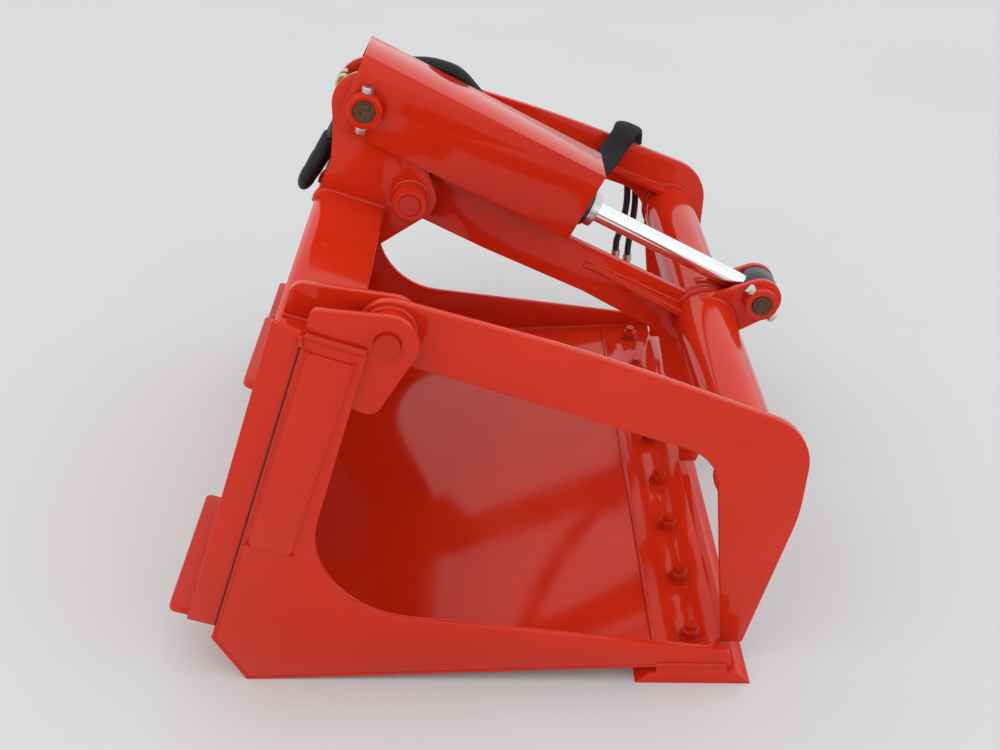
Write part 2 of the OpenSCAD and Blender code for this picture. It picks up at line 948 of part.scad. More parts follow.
// Clevis on the cross tube for the rod pin
clevis_top_angle = 77;
clevis_low_angle = -51;
function on_tube(angle) = let(a = heading(tube_at, rod_end) + angle) tube_at + tube_d / 2 * [cos(a), sin(a)];
clevis_root = on_tube(clevis_top_angle);
clevis_foot = on_tube(clevis_low_angle);
clevis_ahead = heading(tube_at, rod_end);
clevis_over = heading(rod_end, clevis_root) - touch(rod_end, clevis_r, clevis_root);
clevis_under = heading(rod_end, clevis_foot) + touch(rod_end, clevis_r, clevis_foot);
clevis_outline = concat(
    [clevis_root],
    arc(rod_end, clevis_r, clevis_ahead + turn(clevis_ahead, clevis_over),
        clevis_ahead + turn(clevis_ahead, clevis_under), 2 * arc_steps),
    [clevis_foot, tube_at]);

module clevis_ear() {
    color(paint)
        difference() {
            slab(clevis_in, clevis_t)
                polygon(clevis_outline);
            bar_y(rod_end, pin_d, 0, clevis_out + overrun);
            tube_cut(clevis_out + overrun);
        }
}

module clevis_ear_right() {
    on_side(-1)
        clevis_ear();
}

module clevis_ear_left() {
    on_side(1)
        clevis_ear();
}

// Rod pin, locked in a collar on its right end
rod_lock_y = -clevis_out - rod_collar_l / 2;

module rod_pin() {
    color(bare_steel)
        difference() {
            bar_y(rod_end, pin_d, -clevis_out - rod_collar_l - pin_out, clevis_out + pin_out);
            lock_hole(rod_end, rod_lock_y, rod_lock_angle);
        }
}

module rod_collar() {
    color(paint)
        difference() {
            collar_y(rod_end, -clevis_out - rod_collar_l, -clevis_out);
            lock_hole(rod_end, rod_lock_y, rod_lock_angle);
        }
}

module rod_lock_bolt() {
    color(zinc)
        lock_bolt(rod_end, rod_lock_y, rod_lock_angle);
}

// Cylinder
bore_d = barrel_d - 2 * barrel_wall;
barrel_floor = base_eye_d / 2 + base_cap_t;

module barrel() {
    color(black_steel)
        difference() {
            bar_s(barrel_d, 0, barrel_end);
            bar_s(bore_d, barrel_floor, barrel_end + overrun);
            bar_y(base, base_eye_d, -barrel_d, barrel_d);
        }
}

module base_eye() {
    color(black_steel)
        difference() {
            bar_y(base, base_eye_d, -base_eye_w / 2, base_eye_w / 2);
            bar_y(base, pin_d + 2 * run_gap, -base_eye_w, base_eye_w);
        }
}

module gland() {
    color(zinc)
        difference() {
            union() {
                bar_s(gland_d, barrel_end, barrel_end + gland_out);
                bar_s(bore_d, barrel_end - gland_in, barrel_end);
            }
            bar_s(rod_d + 2 * run_gap, 0, cylinder_l);
        }
}

module rod() {
    color(chrome)
        difference() {
            union() {
                bar_s(rod_d, piston_at - piston_l, cylinder_l);
                bar_s(bore_d - 2 * run_gap, piston_at - piston_l, piston_at);
            }
            bar_y(rod_end, rod_eye_d, -rod_d, rod_d);
        }
}

rod_eye_half = clevis_in - face_gap;

module rod_eye() {
    color(black_steel)
        difference() {
            bar_y(rod_end, rod_eye_d, -rod_eye_half, rod_eye_half);
            bar_y(rod_end, pin_d + 2 * rod_eye_play, -clevis_in, clevis_in);
        }
}

// Hose elbows on the back of the base eye, each out of the eye and then down to its hose
port_out_angle = -50;
port_down_angle = 192.1;
port_y = 14;
port_d = 0.9 * hose_d;
port_hex_d = 1.6 * hose_d;
port_elbow_d = 1.25 * hose_d;
port_out = 1.42 * base_eye_d / 2;
port_down = 0.9 * hose_d;
port_hex_h = 0.7 * hose_d;

module port_fittings() {
    color(zinc)
        difference() {
            for (y = [-port_y, port_y])
                translate([base[0], y, base[1]])
                    rotate([0, port_out_angle, 0])
                        union() {
                            cylinder(d = port_d, h = port_out);
                            translate([0, port_elbow_d / 2, port_out])
                                rotate([90, 0, 0])
                                    cylinder(d = port_elbow_d, h = port_elbow_d);
                            translate([0, 0, port_out])
                                rotate([0, port_down_angle - port_out_angle, 0])
                                    union() {
                                        cylinder(d = port_d, h = port_down);
                                        translate([0, 0, port_down - port_hex_h])
                                            cylinder(d = port_hex_d, h = port_hex_h, $fn = 6);
                                    }
                        }
            bar_y(base, base_eye_d, -base_eye_w, base_eye_w);
        }
}

// Guard over the cylinder, pinned at its rear and carried on the barrel by a saddle
guard_outline = concat(
    [[guard_front, -guard_down], [guard_front, guard_up], [-guard_rear, guard_up]],
    arc([0, 0], guard_down, 180 + acos(guard_rear / guard_down), 270, bend_steps));

module cylinder_guard() {
    color(paint)
        difference() {
            along_cylinder()
                rotate([90, 0, 0])
                    translate([0, 0, -guard_out])
                        linear_extrude(guard_w)
                            polygon(guard_outline);
            along_cylinder()
                translate([-guard_front, guard_t - guard_out, -guard_front])
                    cube([3 * guard_front, guard_w - 2 * guard_t, guard_front + guard_up - guard_t]);
            bar_y(base, pin_d + 2 * run_gap, -guard_w, guard_w);
        }
}

module guard_saddle() {
    color(paint)
        difference() {
            along_cylinder()
                translate([guard_front - 1.5 * saddle_l, -saddle_w / 2, barrel_d / 4])
                    cube([saddle_l, saddle_w, guard_up - guard_t - barrel_d / 4]);
            bar_s(barrel_d, 0, guard_front);
        }
}

// Hose routes, as chosen points measured from the heel, with the end of each leg in line with the next piece
sleeve_rear_route = [[118, 0, 766], [109, 0, 750.6], [98, 0, 732], [84, 0, 708], [72, 5, 688.5], [65, 21, 674.5],
    [64.5, 44, 669.5], [71, 68, 674], [83, 86, 688], [97, 93, 707], [108, 98, 728], [130, 108, 770]];
sleeve_span_route = [[130, 108, 770], [141, 113, 791], [166, 116, 824], [205, 115, 850], [250, 112, 865],
    [300, 108, 866], [345, 108, 851], [385, 115, 806], [412, 135, 750], [440, 170, 700], [480, 225, 640],
    [530, 290, 590], [580, 350, 560]];
sleeve_drape_route = [[580.1, 350.1, 560], [605, 380, 545], [637, 415, 538], [668, 455, 546], [698, 498, 568],
    [716, 515, 592], [724, 532, 603], [732, 550, 603], [739, 566, 590], [740, 572, 570], [740, 572, 550]];
lead_route = [[145.6, 14, 860.5], [143.5, 14, 850.7], [139.5, 13.5, 829], [134, 12, 806],
    [127.5, 10.7, 786], [122.5, 10, 773.7], [118, 10, 766]];
tail_a_route = [[731, 572, 550], [731, 572, 530], [741, 574, 470], [746, 575, 405], [740, 575, 345],
    [729, 575, 300], [728, 575, 287], [728, 575, 274]];
tail_b_route = [[749, 572, 550], [749, 572, 530], [760, 574, 470], [766, 575, 405], [764, 575, 345],
    [759, 575, 295], [758, 575, 275], [758, 575, 262]];
cord_sides = 10;
leg_rings = 1;

function tube_point(q, i, f) =
    let(n = len(q) - 1, a = i > 0 ? q[i - 1] : 2 * q[0] - q[1], b = q[i], c = q[i + 1])
    let(d = i + 1 < n ? q[i + 2] : 2 * q[n] - q[n - 1])
    (2 * b + (c - a) * f + (2 * a - 5 * b + 4 * c - d) * f * f + (3 * b - a - 3 * c + d) * f * f * f) / 2;
function tube_line(q) = concat(
    [for (i = [0:len(q) - 2]) for (k = [0:leg_rings - 1]) tube_point(q, i, k / leg_rings)],
    [q[len(q) - 1]]);
function tube_way(p, q, i) = let(n = len(p) - 1)
    i == 0 ? unit(q[1] - q[0]) : i == n ? unit(q[len(q) - 1] - q[len(q) - 2]) : unit(p[i + 1] - p[i - 1]);
function carried(ways, i, u) = i == len(ways) ? []
    : let(w = unit(u - (u * ways[i]) * ways[i])) concat([w], carried(ways, i + 1, w));

// A round tube along a route, given as points from the heel
module cord(route, d) {
    q = [for (p = route) p + [heel_x, 0, 0]];
    p = tube_line(q);
    ways = [for (i = [0:len(p) - 1]) tube_way(p, q, i)];
    across = carried(ways, 0, [1, 0.2, 0.1]);
    last = len(p) - 1;
    ring_points = [for (i = [0:last]) for (j = [0:cord_sides - 1])
        let(a = 360 * j / cord_sides)
        p[i] + d / 2 * (cos(a) * across[i] + sin(a) * cross(ways[i], across[i]))];
    walls = [for (i = [0:last - 1]) for (j = [0:cord_sides - 1])
        let(a = i * cord_sides + j, b = i * cord_sides + (j + 1) % cord_sides)
        each [[a, a + cord_sides, b + cord_sides], [a, b + cord_sides, b]]];
    polyhedron(ring_points, concat(walls,
        [[for (j = [0:cord_sides - 1]) j]],
        [[for (j = [cord_sides - 1:-1:0]) last * cord_sides + j]]));
}

function mirrored(route) = [for (p = route) [p[0], -p[1], p[2]]];

module hose_lead_a() {
    color(rubber)
        cord(mirrored(lead_route), hose_d);
}

module hose_lead_b() {
    color(rubber)
        cord(lead_route, hose_d);
}

module sleeve_rear() {
    color(fabric)
        cord(sleeve_rear_route, sleeve_d);
}

module sleeve_span() {
    color(fabric)
        cord(sleeve_span_route, sleeve_d);
}

module sleeve_drape() {
    color(fabric)
        cord(sleeve_drape_route, sleeve_d);
}

module hose_tail_a() {
    color(rubber)
        cord(tail_a_route, hose_d);
}

module hose_tail_b() {
    color(rubber)
        cord(tail_b_route, hose_d);
}

// Ferrule and quick coupler at the end of a hose
collar_h = coupler_l / 5;
tip_share = 0.7;

module coupler(route) {
    end = route[len(route) - 1];
    color(zinc)
        translate([heel_x + end[0], end[1], end[2] - ferrule_l - coupler_l - collar_h])
            union() {
                translate([0, 0, coupler_l + collar_h])
                    cylinder(d = ferrule_d, h = ferrule_l);
                translate([0, 0, collar_h])
                    cylinder(d = coupler_d, h = coupler_l);
                cylinder(d = coupler_d * tip_share, h = collar_h);
            }
}

module coupler_a() {
    coupler(tail_a_route);
}

module coupler_b() {
    coupler(tail_b_route);
}

bucket_shell();
side_plate_right();
side_plate_left();
lip_plate();
cutting_edge();
lip_bolts();
lip_washers();
lip_nuts();
top_beam();
mount_plate();
upper_lips();
end_plate_right();
end_plate_left();
lower_lip_right();
lower_lip_left();
name_plates();
outer_ear_right();
outer_ear_left();
inner_ear_right();
inner_ear_left();
arm_pins();
pin_collars();
bracket_plate_right();
bracket_plate_left();
centre_pin();
centre_collars();
base_pin();
base_collars();
base_lock_bolts();
guard_spacers();
arm_right();
arm_left();
centre_arm();
arm_hubs();
centre_hub();
cross_tube();
gussets();
clevis_ear_right();
clevis_ear_left();
rod_pin();
rod_collar();
rod_lock_bolt();
barrel();
base_eye();
gland();
port_fittings();
cylinder_guard();
guard_saddle();
rod();
rod_eye();
hose_lead_a();
hose_lead_b();
sleeve_rear();
sleeve_span();
sleeve_drape();
hose_tail_a();
hose_tail_b();
coupler_a();
coupler_b();
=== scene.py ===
import json
import math

import bmesh
import bpy
from mathutils import Matrix, Vector, noise

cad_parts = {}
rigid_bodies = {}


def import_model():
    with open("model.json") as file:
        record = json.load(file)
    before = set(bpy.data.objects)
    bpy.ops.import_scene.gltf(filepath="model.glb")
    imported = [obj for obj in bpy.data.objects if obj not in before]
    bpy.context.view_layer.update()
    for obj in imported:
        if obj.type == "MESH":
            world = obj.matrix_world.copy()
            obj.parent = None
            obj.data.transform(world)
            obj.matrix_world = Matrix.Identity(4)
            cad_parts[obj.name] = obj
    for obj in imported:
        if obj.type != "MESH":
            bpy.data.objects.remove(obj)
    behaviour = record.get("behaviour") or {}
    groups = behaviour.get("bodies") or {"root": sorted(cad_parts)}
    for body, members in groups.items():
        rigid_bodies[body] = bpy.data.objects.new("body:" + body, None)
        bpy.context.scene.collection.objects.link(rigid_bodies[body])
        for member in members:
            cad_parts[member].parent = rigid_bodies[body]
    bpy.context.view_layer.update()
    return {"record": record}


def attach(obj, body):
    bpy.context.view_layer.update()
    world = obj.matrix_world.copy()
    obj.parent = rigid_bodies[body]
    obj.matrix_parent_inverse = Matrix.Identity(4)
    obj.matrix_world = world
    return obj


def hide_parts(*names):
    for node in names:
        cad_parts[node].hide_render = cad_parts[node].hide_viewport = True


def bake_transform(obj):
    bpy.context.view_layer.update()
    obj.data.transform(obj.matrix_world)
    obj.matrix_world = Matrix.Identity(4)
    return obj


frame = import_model()
print("frame loaded")

mm = 0.001
heelX = -433.462  # the lowest rear corner of the bucket


def fromHeel(points):  # points in mm, x counted from the heel, become metres in the part's frame
    return [Vector(((x + heelX) * mm, y * mm, z * mm)) for x, y, z in points]


# the camera, at the angle that the photograph was taken from
cameraView = {
    "lens": 41.483,
    "down": 31.64,
    "turn": 0.91,
    "roll": -1.2,
    "place": (-0.02808, -2.02967, 1.50628),
    "sensor": 36.0,
    "farthest": 50.0,
    "picture": (1000, 750),
}


def placeCamera(view):
    camera = bpy.data.cameras.new("camera")
    camera.sensor_width = view["sensor"]
    camera.lens = view["lens"]
    camera.clip_end = view["farthest"]
    holder = bpy.data.objects.new("camera", camera)
    bpy.context.scene.collection.objects.link(holder)
    down, turn, roll = (math.radians(view[k]) for k in ("down", "turn", "roll"))
    ahead = Vector((math.sin(turn) * math.cos(down), math.cos(turn) * math.cos(down), -math.sin(down)))
    level = Vector((math.cos(turn), -math.sin(turn), 0))
    above = level.cross(ahead)
    right = level * math.cos(roll) - above * math.sin(roll)
    up = level * math.sin(roll) + above * math.cos(roll)
    spot = Matrix((right, up, -ahead)).transposed().to_4x4()
    spot.translation = Vector(view["place"])
    holder.matrix_world = spot
    bpy.context.scene.camera = holder


placeCamera(cameraView)
scene = bpy.context.scene
scene.render.resolution_x, scene.render.resolution_y = cameraView["picture"]
scene.view_settings.view_transform = "Standard"
print("camera placed")


# finishes


def newMaterial(name):
    material = bpy.data.materials.new(name)
    material.use_nodes = True
    nodes = material.node_tree.nodes
    shader = next(n for n in nodes if n.type == "BSDF_PRINCIPLED")
    return material, nodes, material.node_tree.links, shader


def objectNoise(nodes, links, scale, detail=2.0):
    place = nodes.new("ShaderNodeTexCoord")
    grain = nodes.new("ShaderNodeTexNoise")
    grain.inputs["Scale"].default_value = scale
    grain.inputs["Detail"].default_value = detail
    links.new(place.outputs["Object"], grain.inputs["Vector"])
    return grain.outputs["Fac"]


def colourRamp(nodes, links, source, stops):
    ramp = nodes.new("ShaderNodeValToRGB")
    ramp.color_ramp.elements[0].position = stops[0][0]
    ramp.color_ramp.elements[0].color = (*stops[0][1], 1)
    ramp.color_ramp.elements[1].position = stops[1][0]
    ramp.color_ramp.elements[1].color = (*stops[1][1], 1)
    for place, colour in stops[2:]:
        stop = ramp.color_ramp.elements.new(place)
        stop.color = (*colour, 1)
    links.new(source, ramp.inputs["Fac"])
    return ramp.outputs["Color"]


noiseRange = (0.3, 0.7)  # where most of a noise texture's values lie


def spread(nodes, links, source, low, high):
    span = nodes.new("ShaderNodeMapRange")
    span.inputs["From Min"].default_value = noiseRange[0]
    span.inputs["From Max"].default_value = noiseRange[1]
    span.inputs["To Min"].default_value = low
    span.inputs["To Max"].default_value = high
    links.new(source, span.inputs["Value"])
    return span.outputs["Result"]


def addBumps(nodes, links, shader, layers):  # layers of (noise scale, height in metres, strength)
    normal = None
    for scale, height, strength in layers:
        bump = nodes.new("ShaderNodeBump")
        bump.inputs["Distance"].default_value = height
        bump.inputs["Strength"].default_value = strength
        links.new(objectNoise(nodes, links, scale), bump.inputs["Height"])
        if normal is not None:
            links.new(normal, bump.inputs["Normal"])
        normal = bump.outputs["Normal"]
    links.new(normal, shader.inputs["Normal"])


paintLook = {
    "light": (0.60, 0.025, 0.006),
    "deep": (0.53, 0.018, 0.004),
    "roughness": (0.07, 0.13),
    "specular": 0.27,
    "patches": (2.2, 4.0),
    "clouds": (9.0, 3.0),
    "peel": [(5.0, 0.004, 0.08), (260.0, 0.0003, 0.06)],
}


def redPaint(name, look, darker=1.0):
    material, nodes, links, shader = newMaterial(name)
    light = tuple(c * darker for c in look["light"])
    deep = tuple(c * darker for c in look["deep"])
    tone = objectNoise(nodes, links, *look["patches"])
    links.new(colourRamp(nodes, links, tone, [(0.35, deep), (0.65, light)]), shader.inputs["Base Color"])
    cloud = objectNoise(nodes, links, *look["clouds"])
    links.new(spread(nodes, links, cloud, *look["roughness"]), shader.inputs["Roughness"])
    shader.inputs["Specular IOR Level"].default_value = look["specular"]
    addBumps(nodes, links, shader, look["peel"])
    return material


rustLook = {
    "stops": [(0.30, (0.040, 0.014, 0.006)), (0.72, (0.150, 0.070, 0.024)), (0.5, (0.085, 0.034, 0.012))],
    "roughness": (0.45, 0.8),
    "blotches": (190.0, 6.0),
    "metallic": 0.2,
    "pits": [(400.0, 0.0006, 0.4)],
}


def rustySteel(look):
    material, nodes, links, shader = newMaterial("rusty steel")
    blotch = objectNoise(nodes, links, *look["blotches"])
    links.new(colourRamp(nodes, links, blotch, look["stops"]), shader.inputs["Base Color"])
    links.new(spread(nodes, links, blotch, *look["roughness"]), shader.inputs["Roughness"])
    shader.inputs["Metallic"].default_value = look["metallic"]
    addBumps(nodes, links, shader, look["pits"])
    return material


plainLook = {
    "speck": (0.3, 3.0),  # share of the grain's scale, and detail
    "cloud": (0.1, 2.0),
    "uneven": 0.15,  # share of the roughness
    "strength": 0.2,
}


def plainFinish(name, colour, roughness, metallic=0.0, grain=300.0, height=0.0002, change=0.15):
    material, nodes, links, shader = newMaterial(name)
    speck, cloud = (objectNoise(nodes, links, grain * plainLook[k][0], plainLook[k][1])
                    for k in ("speck", "cloud"))
    deep = tuple(c * (1 - change) for c in colour)
    tones = list(zip(noiseRange, (deep, colour)))
    links.new(colourRamp(nodes, links, speck, tones), shader.inputs["Base Color"])
    low, high = roughness * (1 - plainLook["uneven"]), roughness * (1 + plainLook["uneven"])
    links.new(spread(nodes, links, cloud, low, high), shader.inputs["Roughness"])
    shader.inputs["Metallic"].default_value = metallic
    addBumps(nodes, links, shader, [(grain, height, plainLook["strength"])])
    return material


weaveLook = {
    "warp": (0.010, 0.010, 0.011),
    "weft": (0.004, 0.004, 0.005),
    "roughness": 0.66,
    "specular": 0.3,
    "threadHeight": 0.0005,
    "foldHeight": 0.004,
    "foldScale": 38.0,
    "strength": 0.35,
}


def wovenSleeve(look):
    material, nodes, links, shader = newMaterial("woven sleeve")
    uv = nodes.new("ShaderNodeUVMap")
    uv.uv_map = "along"
    weave = nodes.new("ShaderNodeTexChecker")
    weave.inputs["Scale"].default_value = 1.0
    weave.inputs["Color1"].default_value = (*look["warp"], 1)
    weave.inputs["Color2"].default_value = (*look["weft"], 1)
    links.new(uv.outputs["UV"], weave.inputs["Vector"])
    links.new(weave.outputs["Color"], shader.inputs["Base Color"])
    shader.inputs["Roughness"].default_value = look["roughness"]
    shader.inputs["Specular IOR Level"].default_value = look["specular"]
    bump = nodes.new("ShaderNodeBump")
    bump.inputs["Distance"].default_value = look["threadHeight"]
    bump.inputs["Strength"].default_value = look["strength"]
    links.new(weave.outputs["Fac"], bump.inputs["Height"])
    fold = nodes.new("ShaderNodeBump")
    fold.inputs["Distance"].default_value = look["foldHeight"]
    fold.inputs["Strength"].default_value = look["strength"]
    links.new(objectNoise(nodes, links, look["foldScale"]), fold.inputs["Height"])
    links.new(fold.outputs["Normal"], bump.inputs["Normal"])
    links.new(bump.outputs["Normal"], shader.inputs["Normal"])
    return material


finishes = {
    "paint": redPaint("red paint", paintLook),
    "painted_fasteners": redPaint("red paint on fasteners", paintLook, 0.86),
    "bare_steel": rustySteel(rustLook),
    "zinc": plainFinish("zinc plate", (0.62, 0.61, 0.57), 0.33, metallic=1.0),
    "black_steel": plainFinish("black enamel", (0.017, 0.017, 0.018), 0.28),
    "chrome": plainFinish("hard chrome", (0.86, 0.86, 0.87), 0.07, metallic=1.0, grain=260.0,
                          height=0.00003, change=0.03),
    "fabric": wovenSleeve(weaveLook),
    "rubber": plainFinish("hose rubber", (0.014, 0.014, 0.015), 0.42, grain=500.0, height=0.0003),
}
gapShade = plainFinish("dark gap", (0.012, 0.006, 0.004), 0.7)
redRing = plainFinish("red ring", (0.50, 0.03, 0.02), 0.35)
yellowZinc = plainFinish("yellow zinc", (0.62, 0.47, 0.20), 0.35, metallic=1.0)
print("finishes made")


# making and placing pieces
joinWithin = {"tube": 0.000001, "plate": 0.000002, "turned": 0.00001}  # metres between points that are one


def addPiece(name, mesh, material, body, smooth=False):
    piece = bpy.data.objects.new(name, mesh)
    bpy.context.scene.collection.objects.link(piece)
    mesh.materials.clear()
    mesh.materials.append(material)
    for face in mesh.polygons:
        face.use_smooth = smooth
    if body:
        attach(piece, body)
    return piece


def meshOf(shape):
    mesh = bpy.data.meshes.new("piece")
    shape.to_mesh(mesh)
    shape.free()
    return mesh


def curveMesh(splines, depth, sides):  # round tubes along points, each point with its share of the depth
    curve = bpy.data.curves.new("route", "CURVE")
    curve.dimensions = "3D"
    curve.twist_mode = "MINIMUM"
    curve.use_fill_caps = True
    curve.bevel_depth = depth
    curve.bevel_resolution = sides
    for route in splines:
        spline = curve.splines.new("POLY")
        spline.points.add(len(route) - 1)
        for point, spot in zip(spline.points, route):
            point.co = (*spot["at"], 1)
            point.radius = spot.get("size", 1.0)
    holder = bpy.data.objects.new("route", curve)
    bpy.context.scene.collection.objects.link(holder)
    bpy.context.view_layer.update()
    seen = holder.evaluated_get(bpy.context.evaluated_depsgraph_get())
    mesh = bpy.data.meshes.new_from_object(seen)
    bpy.data.objects.remove(holder)
    bpy.data.curves.remove(curve)
    return mesh


def smoothRoute(points, steps):
    wide = [2 * points[0] - points[1], *points, 2 * points[-1] - points[-2]]
    route = []
    for i in range(1, len(wide) - 2):
        a, b, c, d = wide[i - 1 : i + 3]
        for k in range(steps):
            f = k / steps
            route.append(0.5 * (2 * b + (c - a) * f + (2 * a - 5 * b + 4 * c - d) * f * f
                                + (3 * b - a - 3 * c + d) * f * f * f))
    return route + [points[-1]]


# the hoses and their sleeve, which lie where the part's own cord solids are
sleeveSizes = {
    "rear": (0.050, 0.032),  # width and thickness in metres
    "far": (0.062, 0.024),
    "round": 0.018,  # radius of the round tube that is pressed flat
    "fold": 0.0024,
    "creases": (24.0, 60.0),
    "fineCrease": 0.6,
    "steps": 6,
    "sides": 7,
    "beside": 4,  # how much nearer a point of the route has to be beside than along
    "turnsFrom": 0.48,  # share of the length where it starts to lie over towards the far arm
    "turnsOver": 0.30,
    "threads": (260.0, 7.0),
    "diameter": 0.045,
}
acrossArm = (0.94, 0.0, -0.34)  # the far arm's way, on which the sleeve lies flat
sleeveRoute = fromHeel([
    (118, 0, 766), (109, 0, 750.6), (98, 0, 732), (84, 0, 708), (72, 5, 688.5), (65, 21, 674.5),
    (64.5, 44, 669.5), (71, 68, 674), (83, 86, 688), (97, 93, 707), (108, 98, 728), (130, 108, 770),
    (141, 113, 791), (166, 116, 824), (205, 115, 850), (250, 112, 865), (300, 108, 866), (345, 108, 851),
    (385, 115, 806), (412, 135, 750), (440, 170, 700), (480, 225, 640), (530, 290, 590), (580, 350, 560),
    (605, 380, 545), (637, 415, 538), (668, 455, 546), (698, 500, 566), (717, 517, 588), (724, 532, 597),
    (732, 550, 597), (738, 564, 588), (740, 571, 570), (740, 572, 550)])
leadRoute = [(145.6, 14, 860.5), (143.5, 14, 850.7), (139.5, 13.5, 829), (134, 12, 806), (127.5, 10.7, 786),
             (122.5, 10, 773.7), (118, 10, 766)]
tailRoutes = {
    "A": [(731, 572, 550), (731, 572, 530), (741, 574, 470), (746, 575, 405), (740, 575, 345),
          (729, 575, 300), (728, 575, 287), (728, 575, 274)],
    "B": [(749, 572, 550), (749, 572, 530), (760, 574, 470), (766, 575, 405), (764, 575, 345),
          (759, 575, 295), (758, 575, 275), (758, 575, 262)],
}
hoseDiameter = 0.016
hoseLook = {"steps": 8, "sides": 6, "cuffRadius": 0.0175, "cuffPoints": 4}


def acrossSleeve(look, path):  # the flat sleeve's width direction: carried along, then laid on the far arm
    along = [(path[min(i + 1, len(path) - 1)] - path[max(i - 1, 0)]).normalized() for i in range(len(path))]
    onArm = Vector(acrossArm)
    carried = Vector((0.0, 1.0, 0.0))
    result = []
    for i, way in enumerate(along):
        carried = (carried - way * carried.dot(way)).normalized()
        share = (i / (len(path) - 1) - look["turnsFrom"]) / look["turnsOver"]
        share = min(1.0, max(0.0, share))
        share = share * share * (3 - 2 * share)
        side = onArm if carried.dot(onArm) >= 0 else -onArm
        mixed = carried * (1 - share) + side * share
        result.append(((mixed - way * mixed.dot(way)).normalized(), share))
    return along, result


def makeSleeve(look, route):
    path = smoothRoute(route, look["steps"])
    along, across = acrossSleeve(look, path)
    mesh = curveMesh([[{"at": p} for p in path]], depth=look["round"], sides=look["sides"])
    shape = bmesh.new()
    shape.from_mesh(mesh)
    bmesh.ops.remove_doubles(shape, verts=shape.verts, dist=joinWithin["tube"])
    bmesh.ops.recalc_face_normals(shape, faces=shape.faces)
    lengths = [0.0]
    for a, b in zip(path, path[1:]):
        lengths.append(lengths[-1] + (b - a).length)
    places = {}
    for vert in shape.verts:
        near = min(range(len(path)), key=lambda i: abs((vert.co - path[i]).length - look["round"])
                   + look["beside"] * abs((vert.co - path[i]).dot(along[i])))
        wide, share = across[near]
        thick = along[near].cross(wide)
        out = vert.co - path[near]
        turn = math.atan2(out.dot(thick), out.dot(wide))
        size = [r + (f - r) * share for r, f in zip(look["rear"], look["far"])]
        broad, fine = (noise.noise(vert.co * scale) for scale in look["creases"])
        fold = 1 - look["fold"] / look["round"] * (0.5 + 0.5 * (broad + look["fineCrease"] * fine))
        flat = wide * math.cos(turn) * size[0] + thick * math.sin(turn) * size[1]
        vert.co = path[near] + flat * 0.5 * fold
        places[vert.index] = (lengths[near], turn)
    uv = shape.loops.layers.uv.new("along")
    for face in shape.faces:
        first = places[face.verts[0].index][1]
        for loop in face.loops:
            length, turn = places[loop.vert.index]
            turn += 2 * math.pi * round((first - turn) / (2 * math.pi))
            loop[uv].uv = (length * look["threads"][0], turn * look["threads"][1])
    piece = addPiece("hoseSleeve", meshOf(shape), finishes["fabric"], None, True)
    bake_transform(piece)
    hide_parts("sleeve_rear", "sleeve_span", "sleeve_drape")
    return piece, path


def makeCuff(look, route):  # the shrunk end of the sleeve, where the two hoses come out
    last = [{"at": p} for p in route[-look["cuffPoints"]:]]
    mesh = curveMesh([last], depth=look["cuffRadius"], sides=look["sides"])
    return addPiece("sleeveCuff", mesh, finishes["rubber"], "grapple", True)


def roundHose(name, points, body, node):
    path = smoothRoute(fromHeel(points), hoseLook["steps"])
    mesh = curveMesh([[{"at": p} for p in path]], depth=hoseDiameter / 2, sides=hoseLook["sides"])
    piece = addPiece(name, mesh, finishes["rubber"], body, True)
    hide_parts(node)
    return piece, path


couplerLook = {  # radii and heights in mm, from the tip up to the end of the hose
    "profile": [
        (0, 0), (8.3, 0), (9.8, 1.5), (9.8, 11.4), (12.8, 12.4), (14, 13.6), (14, 31), (12.6, 32.2),
        (12.6, 43.4), (14, 44.6), (14, 70.1), (11.5, 74.4), (9.8, 74.4), (9.8, 93.4), (11, 95.3), (11, 112.4),
        (0, 112.4)],
    "height": 112.4,
    "steps": 32,
    "ring": (13.8, 37.8, 2.2),  # radius, height and half width
}


def turned(name, profile, steps, foot, material):  # a profile of radii and heights spun upright
    shape = bmesh.new()
    spots = [shape.verts.new(Vector((r * mm, 0, h * mm)) + foot) for r, h in profile]
    rims = [shape.edges.new(pair) for pair in zip(spots, spots[1:])]
    bmesh.ops.spin(shape, geom=spots + rims, cent=foot, axis=(0, 0, 1), angle=math.tau, steps=steps,
                   use_merge=True)
    bmesh.ops.remove_doubles(shape, verts=shape.verts, dist=joinWithin["turned"])
    bmesh.ops.recalc_face_normals(shape, faces=shape.faces)
    return addPiece(name, meshOf(shape), material, "grapple")


def makeCoupler(mark, look, end):
    foot = fromHeel([Vector(end) - Vector((0, 0, look["height"]))])[0]
    body = turned("coupler" + mark, look["profile"], look["steps"], foot, finishes["zinc"])
    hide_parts("coupler_" + mark.lower())
    radius, height, half = look["ring"]
    low, high = height - half, height + half
    band = [(radius - 1, low), (radius, low), (radius, high), (radius - 1, high)]
    ring = turned("couplerRing" + mark, band, look["steps"], foot, redRing)
    return [body, ring]


sleeve, sleevePath = makeSleeve(sleeveSizes, sleeveRoute)
cuff = makeCuff(hoseLook, sleevePath)
tails = {}
for mark, points in tailRoutes.items():
    tails[mark] = roundHose("hoseTail" + mark, points, "grapple", "hose_tail_" + mark.lower())
for mark, side in (("A", -1), ("B", 1)):
    points = [(x, side * y, z) for x, y, z in leadRoute]
    lead, path = roundHose("hoseLead" + mark, points, None, "hose_lead_" + mark.lower())
    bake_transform(lead)
for mark, (piece, path) in tails.items():
    makeCoupler(mark, couplerLook, tailRoutes[mark][-1])
print("hoses made")

